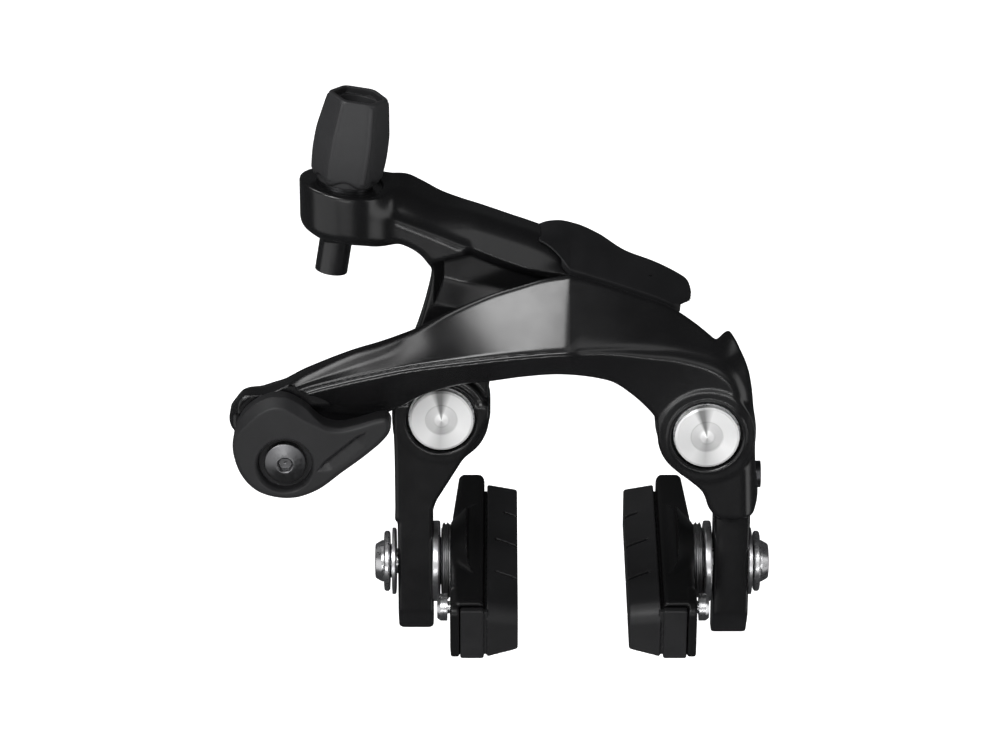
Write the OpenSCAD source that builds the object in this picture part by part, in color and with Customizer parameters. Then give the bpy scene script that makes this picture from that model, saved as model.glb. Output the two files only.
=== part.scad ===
// Direct-mount dual-pivot rim brake caliper, front.
// Frame: +X to the right seen from the front, +Y towards the bicycle frame, +Z up.
// Origin: midway between the two mounting bolts, on the face that meets the frame.

/* [Mounting] */
// Distance between the two mounting bolts
bolt_spacing = 62; // [62:0.5:63]
// Radius of the mounting bolt shank (M6)
bolt_r = 3; // [2.9:0.1:3]
// Length of thread that stands out behind the frame face
stud_len = 12; // [8:1:16]

/* [Shoes] */
// Free gap between the two brake pads
pad_gap = 26; // [25.6:0.2:26.4]
// Length of a brake pad
pad_len = 56; // [52:1:58]
// Pitch of the shoes, front end down (degrees)
shoe_pitch = 8; // [4:1:10]
// Height of the shoe bolts below the pivots
shoe_z = -38.8; // [-40:0.2:-37]
// Depth of the shoe bolts in front of the frame face
shoe_y = -12.5; // [-12.7:0.1:-12.3]

/* [Adjuster] */
// Lean of the adjuster to the right (degrees)
adj_lean = 9.3; // [7:0.1:11]
// Length of the adjuster knob
knob_len = 21.5; // [20:0.5:26]
// Outer radius of the cable housing that the barrel takes
housing_r = 2.5; // [2:0.1:2.6]

/* [Fits] */
// Radial clearance of a turning fit
run_gap = 0.04; // [0.02:0.01:0.08]

/* [Hidden] */
$fn = 96;

px = bolt_spacing / 2;          // pivots at x = +-px, z = 0
arm_back = -6.4;                // rear face of both arms
hub_back = -4;                  // rear face of the arm hubs
left_seat = -15.6;              // front seat of the left hub
right_seat = -25.6;             // front seat of the right hub
qx = -66.6; qz = -0.3;          // centre of the quick-release hub
bx = -67.1; bz = -4.9;          // cable anchor bolt
ax = -53; ay = -12; az = 57.3;  // top of the adjuster boss
roller_z = 29; roller_r = 4;
cam_r = roller_z - roller_r - 0.06;  // cam under the roller, centred midway between the pivots
swivel_s = 39;                  // centre of the spherical washers, from the middle plane
face_s = pad_gap / 2;

// ---------- helpers ----------
module xz(y0, y1) translate([0, y1, 0]) rotate([90, 0, 0]) linear_extrude(y1 - y0) children();
module ycyl(r, y0, y1, x = 0, z = 0) translate([x, y1, z]) rotate([90, 0, 0]) cylinder(r = r, h = y1 - y0);
module xcyl(r, x0, x1, y = 0, z = 0) translate([x0, y, z]) rotate([0, 90, 0]) cylinder(r = r, h = x1 - x0);
module box(x0, x1, y0, y1, z0, z1) translate([x0, y0, z0]) cube([x1 - x0, y1 - y0, z1 - z0]);
// turned part along Y: profile points are [radius, y]
module turned(x, z, pts) translate([x, 0, z]) rotate([-90, 0, 0]) rotate_extrude() polygon(pts);
// turned part along X: profile points are [radius, x]
module xturned(pts) rotate([0, 90, 0]) rotate_extrude() polygon(pts);
module adj() translate([ax, ay, az]) rotate([0, adj_lean, 0]) children();
// shoe frame: x outwards from the middle plane, y along the pad, z up the pad
module shoe(side) { if (side > 0) shoe_place() children(); else mirror([1, 0, 0]) shoe_place() children(); }
module shoe_place() translate([0, shoe_y, shoe_z]) rotate([shoe_pitch, 0, 0]) children();
// square to the leg, not pitched
module leg_place(side) { if (side > 0) translate([0, shoe_y, shoe_z]) children();
  else mirror([1, 0, 0]) translate([0, shoe_y, shoe_z]) children(); }

// ---------- frame side ----------
module stay_plate() color([0.10, 0.10, 0.11]) difference() {
  union() {
    xz(-3, 0) difference() {
      translate([0, -8]) circle(r = 33);
      translate([0, -8]) circle(r = 24);
      translate([-60, -60]) square([120, 60]);
    }
    ycyl(9.2, -3, 0, -px, 0);
    ycyl(9.2, -3, 0, px, 0);
    for (s = [-1, 1]) ycyl(1.2, -5, -2, s * 20.3, 13.2);   // spring pegs
  }
  for (s = [-1, 1]) ycyl(bolt_r + 0.1, -5, 1, s * px, 0);
}

module mounting_bolt(x, head_y) color([0.62, 0.62, 0.64]) difference() {
  turned(x, 0, [[0, head_y], [5, head_y], [5, head_y + 0.9], [bolt_r - 0.2, head_y + 0.9], [bolt_r - 0.2, 0], [bolt_r, 0],
    [bolt_r, stud_len - 0.8], [bolt_r - 0.8, stud_len], [0, stud_len]]);
  translate([x, stud_len + 1, 0]) rotate([90, 0, 0]) cylinder(r = 1.73, h = 5, $fn = 6);
}
module left_mounting_bolt() mounting_bolt(-px, left_seat - 1.7);
module right_mounting_bolt() mounting_bolt(px, right_seat - 1.7);

module pivot_sleeve(x, y0) color([0.72, 0.72, 0.74]) difference() {
  ycyl(5, y0, -3, x, 0);
  ycyl(bolt_r + 0.1, y0 - 1, 0, x, 0);
}
module left_pivot_sleeve() pivot_sleeve(-px, left_seat - 0.8);
module right_pivot_sleeve() pivot_sleeve(px, right_seat - 0.8);

// silver dished cap, hollow behind for the bolt head
module left_pivot_cap() pivot_cap_solid(-px, left_seat - 0.8);
module right_pivot_cap() pivot_cap_solid(px, right_seat - 0.8);
module pivot_cap_solid(x, y) color([0.86, 0.86, 0.87]) difference() {
  turned(x, 0, [[0, y - 1.55], [0.7, y - 1.4], [2, y - 1.15], [3.6, y - 1.1], [3.8, y - 1.15], [7.0, y - 1.6], [7.5, y - 1.3], [7.5, y], [0, y]]);
  ycyl(5.05, y - 0.9, y + 1, x, 0);
}

module thrust_washers() color([0.75, 0.72, 0.62]) {
  for (w = [[-px, -3.9, -3.0, 6.8], [px, -3.9, -3.0, 6.8],
            [-px, left_seat - 0.7, left_seat - 0.1, 7.8], [px, right_seat - 0.7, right_seat - 0.1, 7.8]])
    difference() { ycyl(w[3], w[1], w[2], w[0], 0); ycyl(5.1, w[1] - 1, w[2] + 1, w[0], 0); }
}

// ---------- left (rear) arm ----------
left_web = [[-42.2, 0], [-41.5, 8], [-39.5, 13], [-36.5, 20], [-34.5, 27], [-33.6, 33], [-34.5, 38.5], [-37, 42],
  [-30, 48], [-10, 40], [-7, 34], [-9.5, 30.5], [-13, 26.5], [-15.5, 22.5], [-17.5, 18.5], [-18.8, 14], [-19.6, 9], [-19.8, 0]];
left_post = [[-42.1, 1], [-41.4, 8], [-39.4, 13], [-36.4, 20], [-34.4, 27], [-33.5, 33], [-34.4, 38.6], [-36.8, 42.2],
  [-30, 46], [-29.4, 38], [-29.8, 31], [-24, 28.4], [-20.5, 26], [-21, 12], [-20, 1]];
left_beam = [[-47, 56.5], [-41, 58], [-38.5, 57.6], [-35, 55.2], [-30, 52.4], [-27, 51.2], [-20, 48.6], [-8, 44.4],
  [-1, 41.2], [4, 38.7], [11.5, 35], [19, 31.7], [25, 29.2], [24, 26.8], [18, 28.2], [11, 31], [6, 34.4], [0, 34.6], [-5, 35],
  [-8.4, 36.4], [-12, 37.8], [-22, 41.3], [-29, 44.6], [-37, 48], [-43, 50], [-47, 50.5]];
left_neck = [[-55, 46.6], [-48, 44], [-42, 42.7], [-38.5, 41.3], [-35.5, 39.2], [-30, 44], [-34, 50], [-42, 56], [-52, 56]];
left_leg = [[-42, -53.5], [-41, -54.5], [-34.4, -54.5], [-33.4, -53.5], [-33.4, -23], [-32.6, -20.3], [-30.8, -17.4], [-26, -12.3],
  [-22, -6], [-20.2, -1], [-30, 5], [-42.1, 1], [-42.1, -6], [-41.8, -17]];

module shoe_slot(side, x0, x1) {
  box(min(side * x0, side * x1), max(side * x0, side * x1), shoe_y - 3.4, shoe_y + 3.4, shoe_z - 4.8, shoe_z + 4.8);
  for (d = [-4.8, 4.8]) xcyl(3.4, min(side * x0, side * x1), max(side * x0, side * x1), shoe_y, shoe_z + d);
}

module left_arm() color([0.07, 0.07, 0.075]) difference() {
  union() {
    xz(-12.4, arm_back) polygon(left_web);
    xz(-15.4, arm_back - 0.1) polygon(left_post);
    xz(-16, -4.6) polygon(left_beam);
    xz(-17.5, -5.4) polygon(left_neck);
    xz(-17.8, -7.2) polygon(left_leg);
    ycyl(11.2, -17.2, arm_back, -px, 0);
    ycyl(6.9, -8, hub_back, -px, 0);
    // boss of the adjuster: upright sides, leaning ends
    intersection() {
      translate([ax, ay, az - 20]) cylinder(r = 10.5, h = 30);
      adj() translate([-20, -20, -12]) cube([40, 40, 12]);
    }
    // fork of the roller
    xz(-18.7, -16.6) polygon([[-4.6, 37.6], [4.6, 36.6], [3.2, 29], [-3.2, 29]]);
    xz(-9.2, -7.2) polygon([[-5, 37.4], [5, 36.4], [3.2, 29], [-3.2, 29]]);
    ycyl(3.2, -18.7, -16.6, 0, roller_z);
    ycyl(3.2, -9.2, -7.2, 0, roller_z);
    xz(-18.7, -15.9) polygon([[-4.6, 37.6], [4.6, 36.6], [4.6, 35], [-4.6, 35.2]]);
    // spring peg behind the leg
    ycyl(1.2, -8, -4.7, -36.3, -16.6);
  }
  ycyl(6, -20, 0, -px, 0);
  ycyl(8.3, -20, left_seat, -px, 0);
  adj() translate([0, 0, -30]) cylinder(r = 3.8 + run_gap, h = 40);
  adj() cylinder(r = 8.8, h = 12);
  shoe_slot(-1, 30, 45);
  ycyl(1.51, -20, -5, 0, roller_z);
  ycyl(4.5, -16.6, -9.2, 0, roller_z);
  for (p = [[7, 28, 35], [17, 24, 33]]) {
    translate([p[0], -10, p[1]]) cylinder(r = 1.3, h = 14);
    translate([p[0], -10, p[1] - 3]) cylinder(r = 2.3, h = (p[0] < 10 ? 7.2 : 6.8));
  }
}

module left_pivot_bushes() bushes(-px, [[hub_back - 4.6, hub_back], [left_seat, left_seat + 4.6]]);
module bushes(x, spans) color([0.55, 0.42, 0.25])
  for (s = spans) difference() { ycyl(5.99, s[0], s[1], x, 0); ycyl(5 + run_gap, s[0] - 1, s[1] + 1, x, 0); }

// dark matt cover on the tongue of the left arm, over the middle
cover_back = [[-8, 44.46], [-6.5, 45.2], [-3.5, 45.6], [1.3, 44.8], [6, 42.6], [12, 38.6], [19.5, 35], [25.5, 32], [28, 29.4], [28.2, 27.6],
  [26.6, 26.6], [25.05, 27.4], [25.05, 29.25], [19, 31.75], [11.5, 35.05], [4, 38.75], [-1, 41.25]];
cover_front = [[-4, 42.7], [-1, 42.4], [4, 40.4], [11.5, 36.8], [19, 33.3], [24.6, 30.6], [26.5, 28.6], [25.6, 27],
  [25.05, 27.4], [25.05, 29.25], [19, 31.75], [11.5, 35.05], [4, 38.75], [-1, 41.25]];
cover_lip = [[-1, 41.25], [4, 39.6], [11.5, 36.2], [19, 32.8], [25, 30], [25.6, 27.4], [19, 30.2], [11, 33.5], [4, 36.8], [-1, 38.6]];
module link_cover() color([0.13, 0.13, 0.135]) difference() {
  union() {
    xz(-11, -3) polygon(cover_back);
    xz(-16.2, -10.5) polygon(cover_front);
    xz(-17.4, -16.1) polygon(cover_lip);
  }
  for (p = [[7, 28], [17, 24]]) translate([p[0], -10, p[1]]) cylinder(r = 1.26, h = 10.4);
}
module cover_screws() color([0.45, 0.45, 0.46])
  for (p = [[7, 32.2], [17, 27.8]]) translate([p[0], -10, p[1]]) difference() {
    union() { cylinder(r = 1.25, h = 5.6); translate([0, 0, -1.6]) cylinder(r = 2.2, h = 1.6); }
    translate([0, 0, -2]) cylinder(r = 0.9, h = 1.4, $fn = 6);
  }

module roller_pin() color([0.7, 0.7, 0.72]) ycyl(1.5, -18.6, -7.2, 0, roller_z);
module sync_roller() color([0.6, 0.6, 0.62]) difference() {
  turned(0, roller_z, [[1, -16.4], [3.7, -16.4], [roller_r, -16.1], [roller_r, -9.7], [3.7, -9.4], [1, -9.4]]);
  ycyl(1.5 + run_gap, -20, -5, 0, roller_z);
}

// ---------- return springs ----------
function seg(a, b, n) = [for (i = [0 : n]) a + (b - a) * i / n];
function coil_pt(a, y, r) = [r * cos(a), y, r * sin(a)];
// wire in the plane order: plate leg, coil, arm leg (right side; the left one is its mirror image)
spring_r = 8.0; wire_r = 0.6;
spring_path = concat(seg([-13, -3.75, 10.4], [1.39 - 1.2, -3.75, 8.08], 4),
  [for (i = [0 : 30]) coil_pt(80 - 454.5 * i / 30, -3.75 - 1.95 * i / 30, spring_r)],
  seg([7.5, -5.7, -3.1], [3.0, -5.7, -17.8], 4));
function unit(v) = v / norm(v);
function tang(p, i) = unit(p[min(i + 1, len(p) - 1)] - p[max(i - 1, 0)]);
function ring(p, i, r, n) = let (t = tang(p, i), u = unit(cross(t, [0, 1, 0])), v = cross(u, t))
  [for (k = [0 : n - 1]) p[i] + r * (cos(360 * k / n) * u + sin(360 * k / n) * v)];
module wire(p, r, n = 8) {
  m = len(p);
  pts = [for (i = [0 : m - 1]) each ring(p, i, r, n)];
  faces = concat([[for (k = [0 : n - 1]) k]], [[for (k = [n - 1 : -1 : 0]) (m - 1) * n + k]],
    [for (i = [0 : m - 2], k = [0 : n - 1]) [i * n + k, (i + 1) * n + k, (i + 1) * n + (k + 1) % n, i * n + (k + 1) % n]]);
  polyhedron(points = pts, faces = faces, convexity = 6);
}
module right_return_spring() color([0.6, 0.6, 0.62]) translate([px, 0, 0]) wire(spring_path, wire_r);
module left_return_spring() color([0.6, 0.6, 0.62]) mirror([1, 0, 0]) translate([px, 0, 0]) wire(spring_path, wire_r);

// ---------- adjuster ----------
module adjuster_wave_washer() color([0.65, 0.65, 0.66]) adj() difference() {
  translate([0, 0, 0.02]) cylinder(r = 6.4, h = 0.5);
  cylinder(r = 4.2, h = 3, center = true);
}
module adjuster_knob() color([0.16, 0.16, 0.165]) adj() difference() {
  union() {
    rotate_extrude() polygon([[3, 0.6], [7.9, 0.6], [8.0, 1.6], [7.7, 3.2], [7.6, 4], [7.6, 13], [7.2, 18], [6.6, knob_len - 1.2], [5.8, knob_len], [3, knob_len]]);
    for (i = [0 : 7]) rotate([0, 0, i * 45]) translate([7.1, 0, 3.5]) cylinder(r = 0.9, h = 11);
  }
  cylinder(r = 3.8 + run_gap, h = 40);
  translate([0, 0, 12.6]) cylinder(r = 4.7, h = 20);
}
module adjuster_barrel() color([0.12, 0.12, 0.125]) adj() difference() {
  translate([0, 0, -21.8]) cylinder(r = 3.8, h = 33.8);
  translate([0, 0, 2]) cylinder(r = housing_r + 0.1, h = 12);
  translate([0, 0, -22]) cylinder(r = 1.1, h = 40);
}

// ---------- right (front) arm ----------
front_beam = [[-80.2, 3], [-79.6, 7], [-76.8, 10], [-74, 10.4], [-62, 15.6], [-50.4, 20.4], [-45, 22.1], [-35.7, 26], [-30, 28.9],
  [-22.5, 32.4], [-12, 36.3], [-5, 38.2], [-1, 38.7], [8, 36.1], [16.6, 33], [22, 31.2], [25, 29.2], [28.1, 26.8], [32.9, 22.4], [35.3, 25],
  [37.6, 23.3], [40.2, 17.6], [41.3, 12], [42.1, 4], [42.6, -7], [42.8, -19], [41.5, -20.8], [34, -20.8], [32.3, -18.6], [29.8, -14.6], [26.8, -11.4],
  [24.3, -8.5], [21.8, -5.5], [20.3, -2.2], [19.8, 1], [18.8, 4.6], [16.5, 7.4], [13, 10.4], [8.7, 13], [5.7, 13.9], [-3, 14.8], [-12, 14.2],
  [-19.5, 13.1], [-25, 12.3], [-30, 11.1], [-35.5, 9.2], [-40, 6.9], [-43.5, 5], [-49, 2.4], [-56, -2.5], [-66, 0], [-74, 0], [-79.8, 2]];
front_mid = [[-77, 6.5], [-75.4, 9], [-71, 10.6], [-62, 14.6], [-50, 18.7], [-40, 22], [-30, 25.4], [-22, 28.4], [-12, 31.8], [-5, 33.6],
  [-1, 34.2], [5, 33.2], [11, 31.2], [22, 27.6], [30, 23], [36, 18.8], [38.5, 14], [39.6, 7], [37, 10.5], [31, 13.5], [24, 14], [14, 15.2],
  [0, 17.2], [-12, 16.8], [-25, 14.8], [-35, 12.2], [-43, 9], [-52, 8.4], [-60, 10.4], [-70, 8.6]];
front_crest = [[-75.4, 8.6], [-70, 10.6], [-62, 13.6], [-50, 17.2], [-38, 20.2], [-24, 22.8], [-12, 24.8], [-1, 25.6], [10, 24.8], [20, 23.2],
  [26, 21], [26, 18.6], [20, 19.6], [10, 20.4], [-1, 20.6], [-14, 19.8], [-24, 18.4], [-38, 16], [-50, 13], [-62, 10.6], [-70, 8.8]];
right_front = [[14, 12.5], [20, 22], [36, 19.2], [41, 12], [42.3, -8], [42.3, -17], [34, -17], [27, -10.2], [22, -4.6], [20.6, 0], [18, 6.5]];
right_rear = [[20, -3], [19.4, 4], [21, 10], [26, 13.4], [31, 14.4], [37, 13], [41, 8], [42.3, 0], [42.5, -10], [42.6, -22], [38, -26],
  [33.4, -24], [32, -19], [29, -14.4], [24, -8.8]];
right_leg = [[42, -53.5], [41, -54.5], [34.4, -54.5], [33.4, -53.5], [33.4, -20], [34, -10], [42, -10]];

module right_arm() color([0.07, 0.07, 0.075]) difference() {
  union() {
    xz(-25.5, -19.2) polygon(front_beam);
    xz(-28.4, -25.4) polygon(front_mid);
    xz(-30.8, -28.3) polygon(front_crest);
    xz(-27.2, -25.4) polygon(right_front);
    xz(-19.3, arm_back) polygon(right_rear);
    xz(-18.5, -7.4) polygon(right_leg);
    ycyl(11.4, -27.1, arm_back - 0.05, px, 0);
    ycyl(6.9, -8, hub_back, px, 0);
    ycyl(11.5, -25.45, -19.25, qx, qz);
    // cam shelf under the roller
    intersection() {
      ycyl(cam_r, -19.6, -9.6, 0, 0);
      box(-9, 10, -20, -9, 13.6, 30);
    }
  }
  ycyl(6, -30, 0, px, 0);
  ycyl(8.3, -32, right_seat, px, 0);
  ycyl(8, -32, -15, qx, qz);
  ycyl(13.3, -34, -26.9, qx, qz);
  shoe_slot(1, 30, 45);
  box(34.2, 39, -13.1, -5, -20.2, -14);
  xcyl(2 + run_gap, 38.5, 50, -10, -17.1);
}

module right_pivot_bushes() bushes(px, [[hub_back - 6, hub_back], [right_seat, right_seat + 6]]);

module centering_screw() color([0.3, 0.3, 0.31]) difference() {
  union() { xcyl(2, 38.05, 43.5, -10, -17.1); xcyl(3.2, 43.4, 44.9, -10, -17.1); }
  xcyl(1.16, 43.9, 46, -10, -17.1, $fn = 6);
}
module centering_block() color([0.85, 0.84, 0.8]) box(35.8, 38, -12.9, -4.9, -19.9, -14.3);

// ---------- quick release ----------
lever_tail = [[-66.6, 12.4], [-61.5, 11], [-58.5, 7.4], [-56, 5.2], [-53, 4.5], [-49, 5.6], [-46, 6], [-43.6, 6.4], [-42.4, 5.2], [-43.6, 2.8],
  [-49.6, -4.2], [-56.8, -9.6], [-61.5, -12.2], [-66.6, -13]];
module qr_lever() color([0.2, 0.2, 0.205]) difference() {
  union() {
    ycyl(12.9, -33.4, -27.2, qx, qz);
    xz(-33.1, -27.5) polygon(lever_tail);
    ycyl(8 - run_gap, -27.5, -18, qx, qz);
  }
  ycyl(6.25, -36, -30.2, bx, bz);
  ycyl(2.6, -36, -10, bx, bz);
  difference() { ycyl(9, -19.05, -18.45, qx, qz); ycyl(7.4, -20, -17, qx, qz); }
}
module qr_retaining_ring() color([0.55, 0.55, 0.56]) difference() {
  ycyl(9.4, -19.0, -18.5, qx, qz);
  ycyl(7.45, -20, -17, qx, qz);
}
module cable_anchor_bolt() color([0.3, 0.3, 0.31]) difference() {
  turned(bx, bz, [[0, -32.9], [3.2, -32.9], [4.9, -31.9], [4.9, -30.25], [2.5, -30.25], [2.5, -12.6], [0, -12.6]]);
  translate([bx, -31.2, bz]) rotate([90, 0, 0]) cylinder(r = 1.73, h = 4, $fn = 6);
}
module cable_anchor_washer() color([0.7, 0.7, 0.72]) difference() {
  ycyl(5.6, -17.95, -16.4, bx, bz);
  ycyl(2.55, -20, -10, bx, bz);
  // cable groove, right beside the bolt
  translate([bx + 3.6, -17.95, bz - 10]) cylinder(r = 0.8, h = 20);
}
module cable_anchor_nut() color([0.5, 0.5, 0.51]) difference() {
  translate([bx, -13, bz]) rotate([90, 0, 0]) cylinder(r = 4.6, h = 3.35, $fn = 6);
  ycyl(2.52, -20, -10, bx, bz);
}

// ---------- shoes (drawn for the right side, mirrored for the left) ----------
module inner_slot_washer(side) color([0.82, 0.82, 0.83]) leg_place(side) difference() {
  union() {
    xcyl(9.7, 32.2, 33.35);
    intersection() { translate([swivel_s, 0, 0]) sphere(r = 8.9); xcyl(8, 29, 32.4); }
  }
  xcyl(3.6, 20, 40);
}
module ribbed_seat(side) color([0.5, 0.5, 0.51]) shoe(side) difference() {
  xturned([[2, 29.05], [9.3, 29.05], [9.3, 30.9], [8.9, 31.5], [2, 31.5]]);
  translate([swivel_s, 0, 0]) sphere(r = 9.0);
  xcyl(3.05, 20, 40);
}
// domed towards the bolt head, the dome centred on the swivel point
module outer_slot_washer(side) color([0.7, 0.7, 0.71]) leg_place(side)
  xturned(concat([[3.6, 42.05], [7.7, 42.05], [8, 42.3], [8, 43]],
    [for (i = [0 : 4]) let (r = 4.34 - i * 0.185) [r, swivel_s + sqrt(5.9 * 5.9 - r * r)]]));
module dished_washer(side) color([0.62, 0.62, 0.63]) shoe(side) difference() {
  xturned([[2, 43.55], [6.9, 43.55], [7.25, 43.9], [7.25, 44.6], [6.9, 44.95], [2, 44.95]]);
  translate([swivel_s, 0, 0]) sphere(r = 6.0);
  xcyl(3.05, 38, 50);
}
module shoe_bolt(side) color([0.78, 0.78, 0.79]) shoe(side) difference() {
  xturned([[0, 25.2], [3, 25.2], [3, 45], [5, 45], [5, 45.5], [4.2, 46.9], [3.9, 47.1], [0, 47.1]]);
  translate([45.1, 0, 0]) rotate([0, 90, 0]) cylinder(r = 2.3, h = 4, $fn = 6);
}
// section across the holder: [x, z]
holder_sec = [[20.8, -6.9], [22, -7.3], [26.2, -7.3], [27.4, -6], [27.4, 6], [26.2, 7.3], [22, 7.3], [20.8, 6.9]];
module along(l0, l1) translate([0, l1, 0]) rotate([90, 0, 0]) linear_extrude(l1 - l0) children();
module shoe_holder(side) color([0.09, 0.09, 0.095]) shoe(side) difference() {
  union() {
    along(-pad_len / 2 + 0.5, pad_len / 2 + 1.5) polygon(holder_sec);
    xcyl(8.8, 26, 29);
    box(26.5, 29, -24.5, 14, -5.5, 5.5);
  }
  along(-40, pad_len / 2 - 2) polygon([[20, -4], [21, -4], [24.6, -4.9], [24.6, 4.9], [21, 4], [20, 4]]);
  xcyl(3.02, 25, 35);
  xcyl(1.52, 24, 35, -20, 0);
}
module pad_screw(side) color([0.8, 0.8, 0.81]) shoe(side) difference() {
  xturned_at(-20, [[0, 25], [1.5, 25], [1.5, 29.6], [3.2, 29.6], [3.2, 31.2], [2.6, 32], [0, 32]]);
  translate([31, -20, 0]) rotate([0, 90, 0]) cylinder(r = 1.15, h = 4, $fn = 6);
}
module xturned_at(y, pts) translate([0, y, 0]) xturned(pts);
// section across the pad: friction block and tongue
pad_sec = [[face_s, -5.5], [face_s + 0.4, -5.9], [20.6, -6.7], [20.6, -3.9], [21.1, -3.9], [24.45, -4.75], [24.45, 4.75], [21.1, 3.9],
  [20.6, 3.9], [20.6, 6.7], [face_s + 0.4, 5.9], [face_s, 5.5]];
module brake_pad(side) color([0.12, 0.12, 0.125]) shoe(side) difference() {
  union() {
    along(-pad_len / 2, pad_len / 2 - 2.2) polygon(pad_sec);
    along(-pad_len / 2 - 1.6, -pad_len / 2 + 0.3) polygon([[face_s + 1.5, -5], [20.6, -6.6], [26.6, -6.2], [26.6, 6.2], [20.6, 6.6], [face_s + 1.5, 5.2]]);
  }
  for (g = [-14.7, 0, 14.7]) translate([face_s - 1, g, 0]) rotate([0, 0, 20]) translate([0, -0.7, -10]) cube([5, 1.4, 20]);
}

module left_inner_slot_washer() inner_slot_washer(-1);
module right_inner_slot_washer() inner_slot_washer(1);
module left_outer_slot_washer() outer_slot_washer(-1);
module right_outer_slot_washer() outer_slot_washer(1);
module left_ribbed_seat() ribbed_seat(-1);
module right_ribbed_seat() ribbed_seat(1);
module left_dished_washer() dished_washer(-1);
module right_dished_washer() dished_washer(1);
module left_shoe_bolt() shoe_bolt(-1);
module right_shoe_bolt() shoe_bolt(1);
module left_shoe_holder() shoe_holder(-1);
module right_shoe_holder() shoe_holder(1);
module left_pad_screw() pad_screw(-1);
module right_pad_screw() pad_screw(1);
module left_brake_pad() brake_pad(-1);
module right_brake_pad() brake_pad(1);

stay_plate();
left_mounting_bolt();
right_mounting_bolt();
left_pivot_sleeve();
right_pivot_sleeve();
left_pivot_cap();
right_pivot_cap();
thrust_washers();
left_arm();
left_pivot_bushes();
link_cover();
cover_screws();
roller_pin();
sync_roller();
left_return_spring();
adjuster_wave_washer();
adjuster_knob();
adjuster_barrel();
right_arm();
right_pivot_bushes();
right_return_spring();
centering_screw();
centering_block();
qr_lever();
qr_retaining_ring();
cable_anchor_bolt();
cable_anchor_washer();
cable_anchor_nut();
left_inner_slot_washer();
right_inner_slot_washer();
left_outer_slot_washer();
right_outer_slot_washer();
left_ribbed_seat();
right_ribbed_seat();
left_dished_washer();
right_dished_washer();
left_shoe_bolt();
right_shoe_bolt();
left_shoe_holder();
right_shoe_holder();
left_pad_screw();
right_pad_screw();
left_brake_pad();
right_brake_pad();
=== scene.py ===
"""Looks of a direct-mount dual-pivot rim brake caliper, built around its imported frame.
Lengths in the modelling code are millimetres: +X right, +Y towards the bicycle, +Z up."""
import math

import bpy
import numpy as np
from mathutils import Matrix


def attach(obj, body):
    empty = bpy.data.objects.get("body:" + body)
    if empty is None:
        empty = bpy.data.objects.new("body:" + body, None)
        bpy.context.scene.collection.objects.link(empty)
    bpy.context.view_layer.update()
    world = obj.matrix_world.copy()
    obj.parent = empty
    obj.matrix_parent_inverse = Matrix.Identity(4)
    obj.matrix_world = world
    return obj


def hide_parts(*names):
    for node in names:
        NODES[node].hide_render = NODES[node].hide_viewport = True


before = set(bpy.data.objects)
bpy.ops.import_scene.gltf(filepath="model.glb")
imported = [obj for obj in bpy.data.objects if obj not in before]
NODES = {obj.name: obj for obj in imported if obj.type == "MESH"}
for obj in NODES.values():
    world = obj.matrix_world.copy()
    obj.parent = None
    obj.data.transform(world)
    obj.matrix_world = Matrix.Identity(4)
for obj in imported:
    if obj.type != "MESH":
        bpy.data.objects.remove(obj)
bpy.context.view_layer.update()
MM = 0.001


# ------------------------------------------------------------------ maths helpers
def smin(a, b, k):
    h = np.maximum(k - np.abs(a - b), 0.0) / k
    return np.minimum(a, b) - h * h * k * 0.25


def smax(a, b, k):
    return -smin(-a, -b, k)


def hinge(t, w):
    """max(t, 0) with its corner rounded over a width of w on each side."""
    return np.where(t > w, t, np.where(t < -w, 0.0, (t + w) ** 2 / (4.0 * w)))


def step01(t):
    t = np.clip(t, 0.0, 1.0)
    return t * t * (3.0 - 2.0 * t)


def rod(x, y, r, a=0.0, b=0.0):
    return np.sqrt((x - a) ** 2 + (y - b) ** 2) - r


def prism(d, y, lo, hi, r):
    """A flat shape with signed distance d, from lo to hi, its edges rounded by r."""
    a = d + r
    b = np.maximum(lo - y, y - hi) + r
    return np.minimum(np.maximum(a, b), 0.0) + np.sqrt(np.maximum(a, 0.0) ** 2 + np.maximum(b, 0.0) ** 2) - r


def box2(x, y, x0, x1, y0, y1, r):
    a = np.maximum(x0 - x, x - x1) + r
    b = np.maximum(y0 - y, y - y1) + r
    return np.minimum(np.maximum(a, b), 0.0) + np.sqrt(np.maximum(a, 0.0) ** 2 + np.maximum(b, 0.0) ** 2) - r


def outline(points, closed=True, step=0.3):
    """A smooth line through given points. A point with a third value is a corner."""
    p = [np.array(q[:2], float) for q in points]
    sharp = [len(q) > 2 for q in points]
    n = len(p)
    out = []

    def tangent(i):
        a, b, c = p[(i - 1) % n], p[i], p[(i + 1) % n]
        d0, d1 = np.linalg.norm(b - a) + 1e-9, np.linalg.norm(c - b) + 1e-9
        return ((b - a) / d0 * d1 + (c - b) / d1 * d0) / (d0 + d1)

    for i in range(n if closed else n - 1):
        j = (i + 1) % n
        a, b = p[i], p[j]
        d = np.linalg.norm(b - a) + 1e-9
        ends = not closed and i == 0, not closed and j == n - 1
        ta = None if sharp[i] or ends[0] else tangent(i)
        tb = None if sharp[j] or ends[1] else tangent(j)
        if ta is None and tb is None:
            ta = tb = (b - a) / d
        elif ta is None:
            ta = 1.5 * (b - a) / d - 0.5 * tb
        elif tb is None:
            tb = 1.5 * (b - a) / d - 0.5 * ta
        m = max(1, int(math.ceil(d / step)))
        t = (np.arange(m) / m)[:, None]
        out.append((2 * t**3 - 3 * t**2 + 1) * a + (t**3 - 2 * t**2 + t) * d * ta
                   + (3 * t**2 - 2 * t**3) * b + (t**3 - t**2) * d * tb)
    if not closed:
        out.append(p[-1][None, :])
    return np.concatenate(out)


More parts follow.
